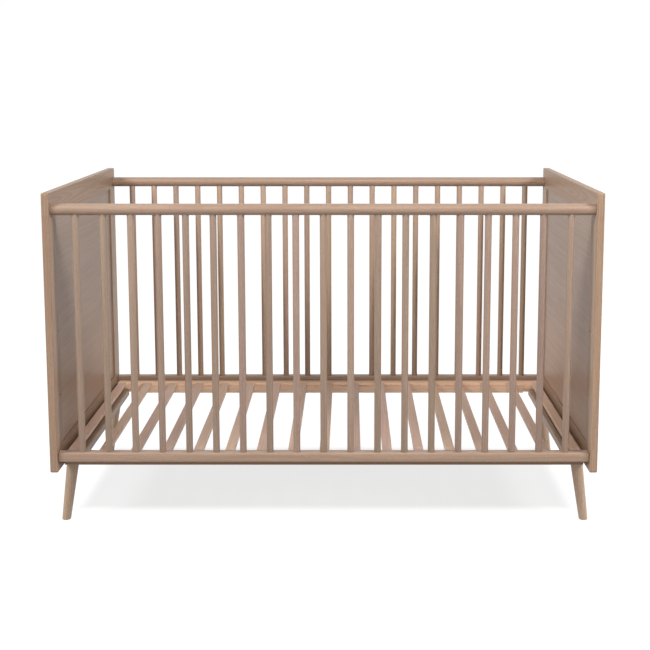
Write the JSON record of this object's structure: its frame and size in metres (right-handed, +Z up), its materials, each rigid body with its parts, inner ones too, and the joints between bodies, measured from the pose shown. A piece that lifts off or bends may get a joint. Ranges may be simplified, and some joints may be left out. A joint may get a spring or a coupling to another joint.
{
  "type": "baby crib",
  "caption": "Baby crib with framed end panels, round spindle sides, splayed tapered legs and a slatted mattress base that sets at several heights.",
  "frame": {"origin": "on the floor, at the middle of the footprint", "axes": "+X along the crib's length, +Y from the front side to the rear side, +Z up"},
  "size_m": [1.4564, 0.78, 0.92],
  "materials": {
    "oak_frame": "satin lacquered oak, straight grain",
    "oak_inset": "greyed oak veneer with fine cross grain, matt",
    "oak_round": "satin lacquered turned oak",
    "oak_leg": "satin lacquered turned oak",
    "base_wood": "matt sanded timber"
  },
  "bodies": {
    "crib_frame": {"left_end_top_rail": "oak_frame", "left_end_bottom_rail": "oak_frame", "left_end_front_stile": "oak_frame", "left_end_rear_stile": "oak_frame", "left_end_inset_panel": "oak_inset", "right_end_top_rail": "oak_frame", "right_end_bottom_rail": "oak_frame", "right_end_front_stile": "oak_frame", "right_end_rear_stile": "oak_frame", "right_end_inset_panel": "oak_inset", "front_top_rail": "oak_round", "front_bottom_rail": "oak_round", "front_spindle_01": "oak_round", "front_spindle_02": "oak_round", "front_spindle_03": "oak_round", "front_spindle_04": "oak_round", "front_spindle_05": "oak_round", "front_spindle_06": "oak_round", "front_spindle_07": "oak_round", "front_spindle_08": "oak_round", "front_spindle_09": "oak_round", "front_spindle_10": "oak_round", "front_spindle_11": "oak_round", "front_spindle_12": "oak_round", "front_spindle_13": "oak_round", "front_spindle_14": "oak_round", "front_spindle_15": "oak_round", "front_spindle_16": "oak_round", "front_spindle_17": "oak_round", "front_spindle_18": "oak_round", "front_spindle_19": "oak_round", "rear_top_rail": "oak_round", "rear_bottom_rail": "oak_round", "rear_spindle_01": "oak_round", "rear_spindle_02": "oak_round", "rear_spindle_03": "oak_round", "rear_spindle_04": "oak_round", "rear_spindle_05": "oak_round", "rear_spindle_06": "oak_round", "rear_spindle_07": "oak_round", "rear_spindle_08": "oak_round", "rear_spindle_09": "oak_round", "rear_spindle_10": "oak_round", "rear_spindle_11": "oak_round", "rear_spindle_12": "oak_round", "rear_spindle_13": "oak_round", "rear_spindle_14": "oak_round", "rear_spindle_15": "oak_round", "rear_spindle_16": "oak_round", "rear_spindle_17": "oak_round", "rear_spindle_18": "oak_round", "rear_spindle_19": "oak_round", "left_leg_board": "oak_frame", "front_left_leg": "oak_leg", "rear_left_leg": "oak_leg", "right_leg_board": "oak_frame", "front_right_leg": "oak_leg", "rear_right_leg": "oak_leg"},
    "mattress_base": {"base_frame": "base_wood", "slat_deck": "base_wood"}
  },
  "joints": [
    {"name": "base_height", "type": "slide", "parent": "crib_frame", "child": "mattress_base", "axis": [0, 0, 1], "range_m": [0, 0.348]}
  ]
}
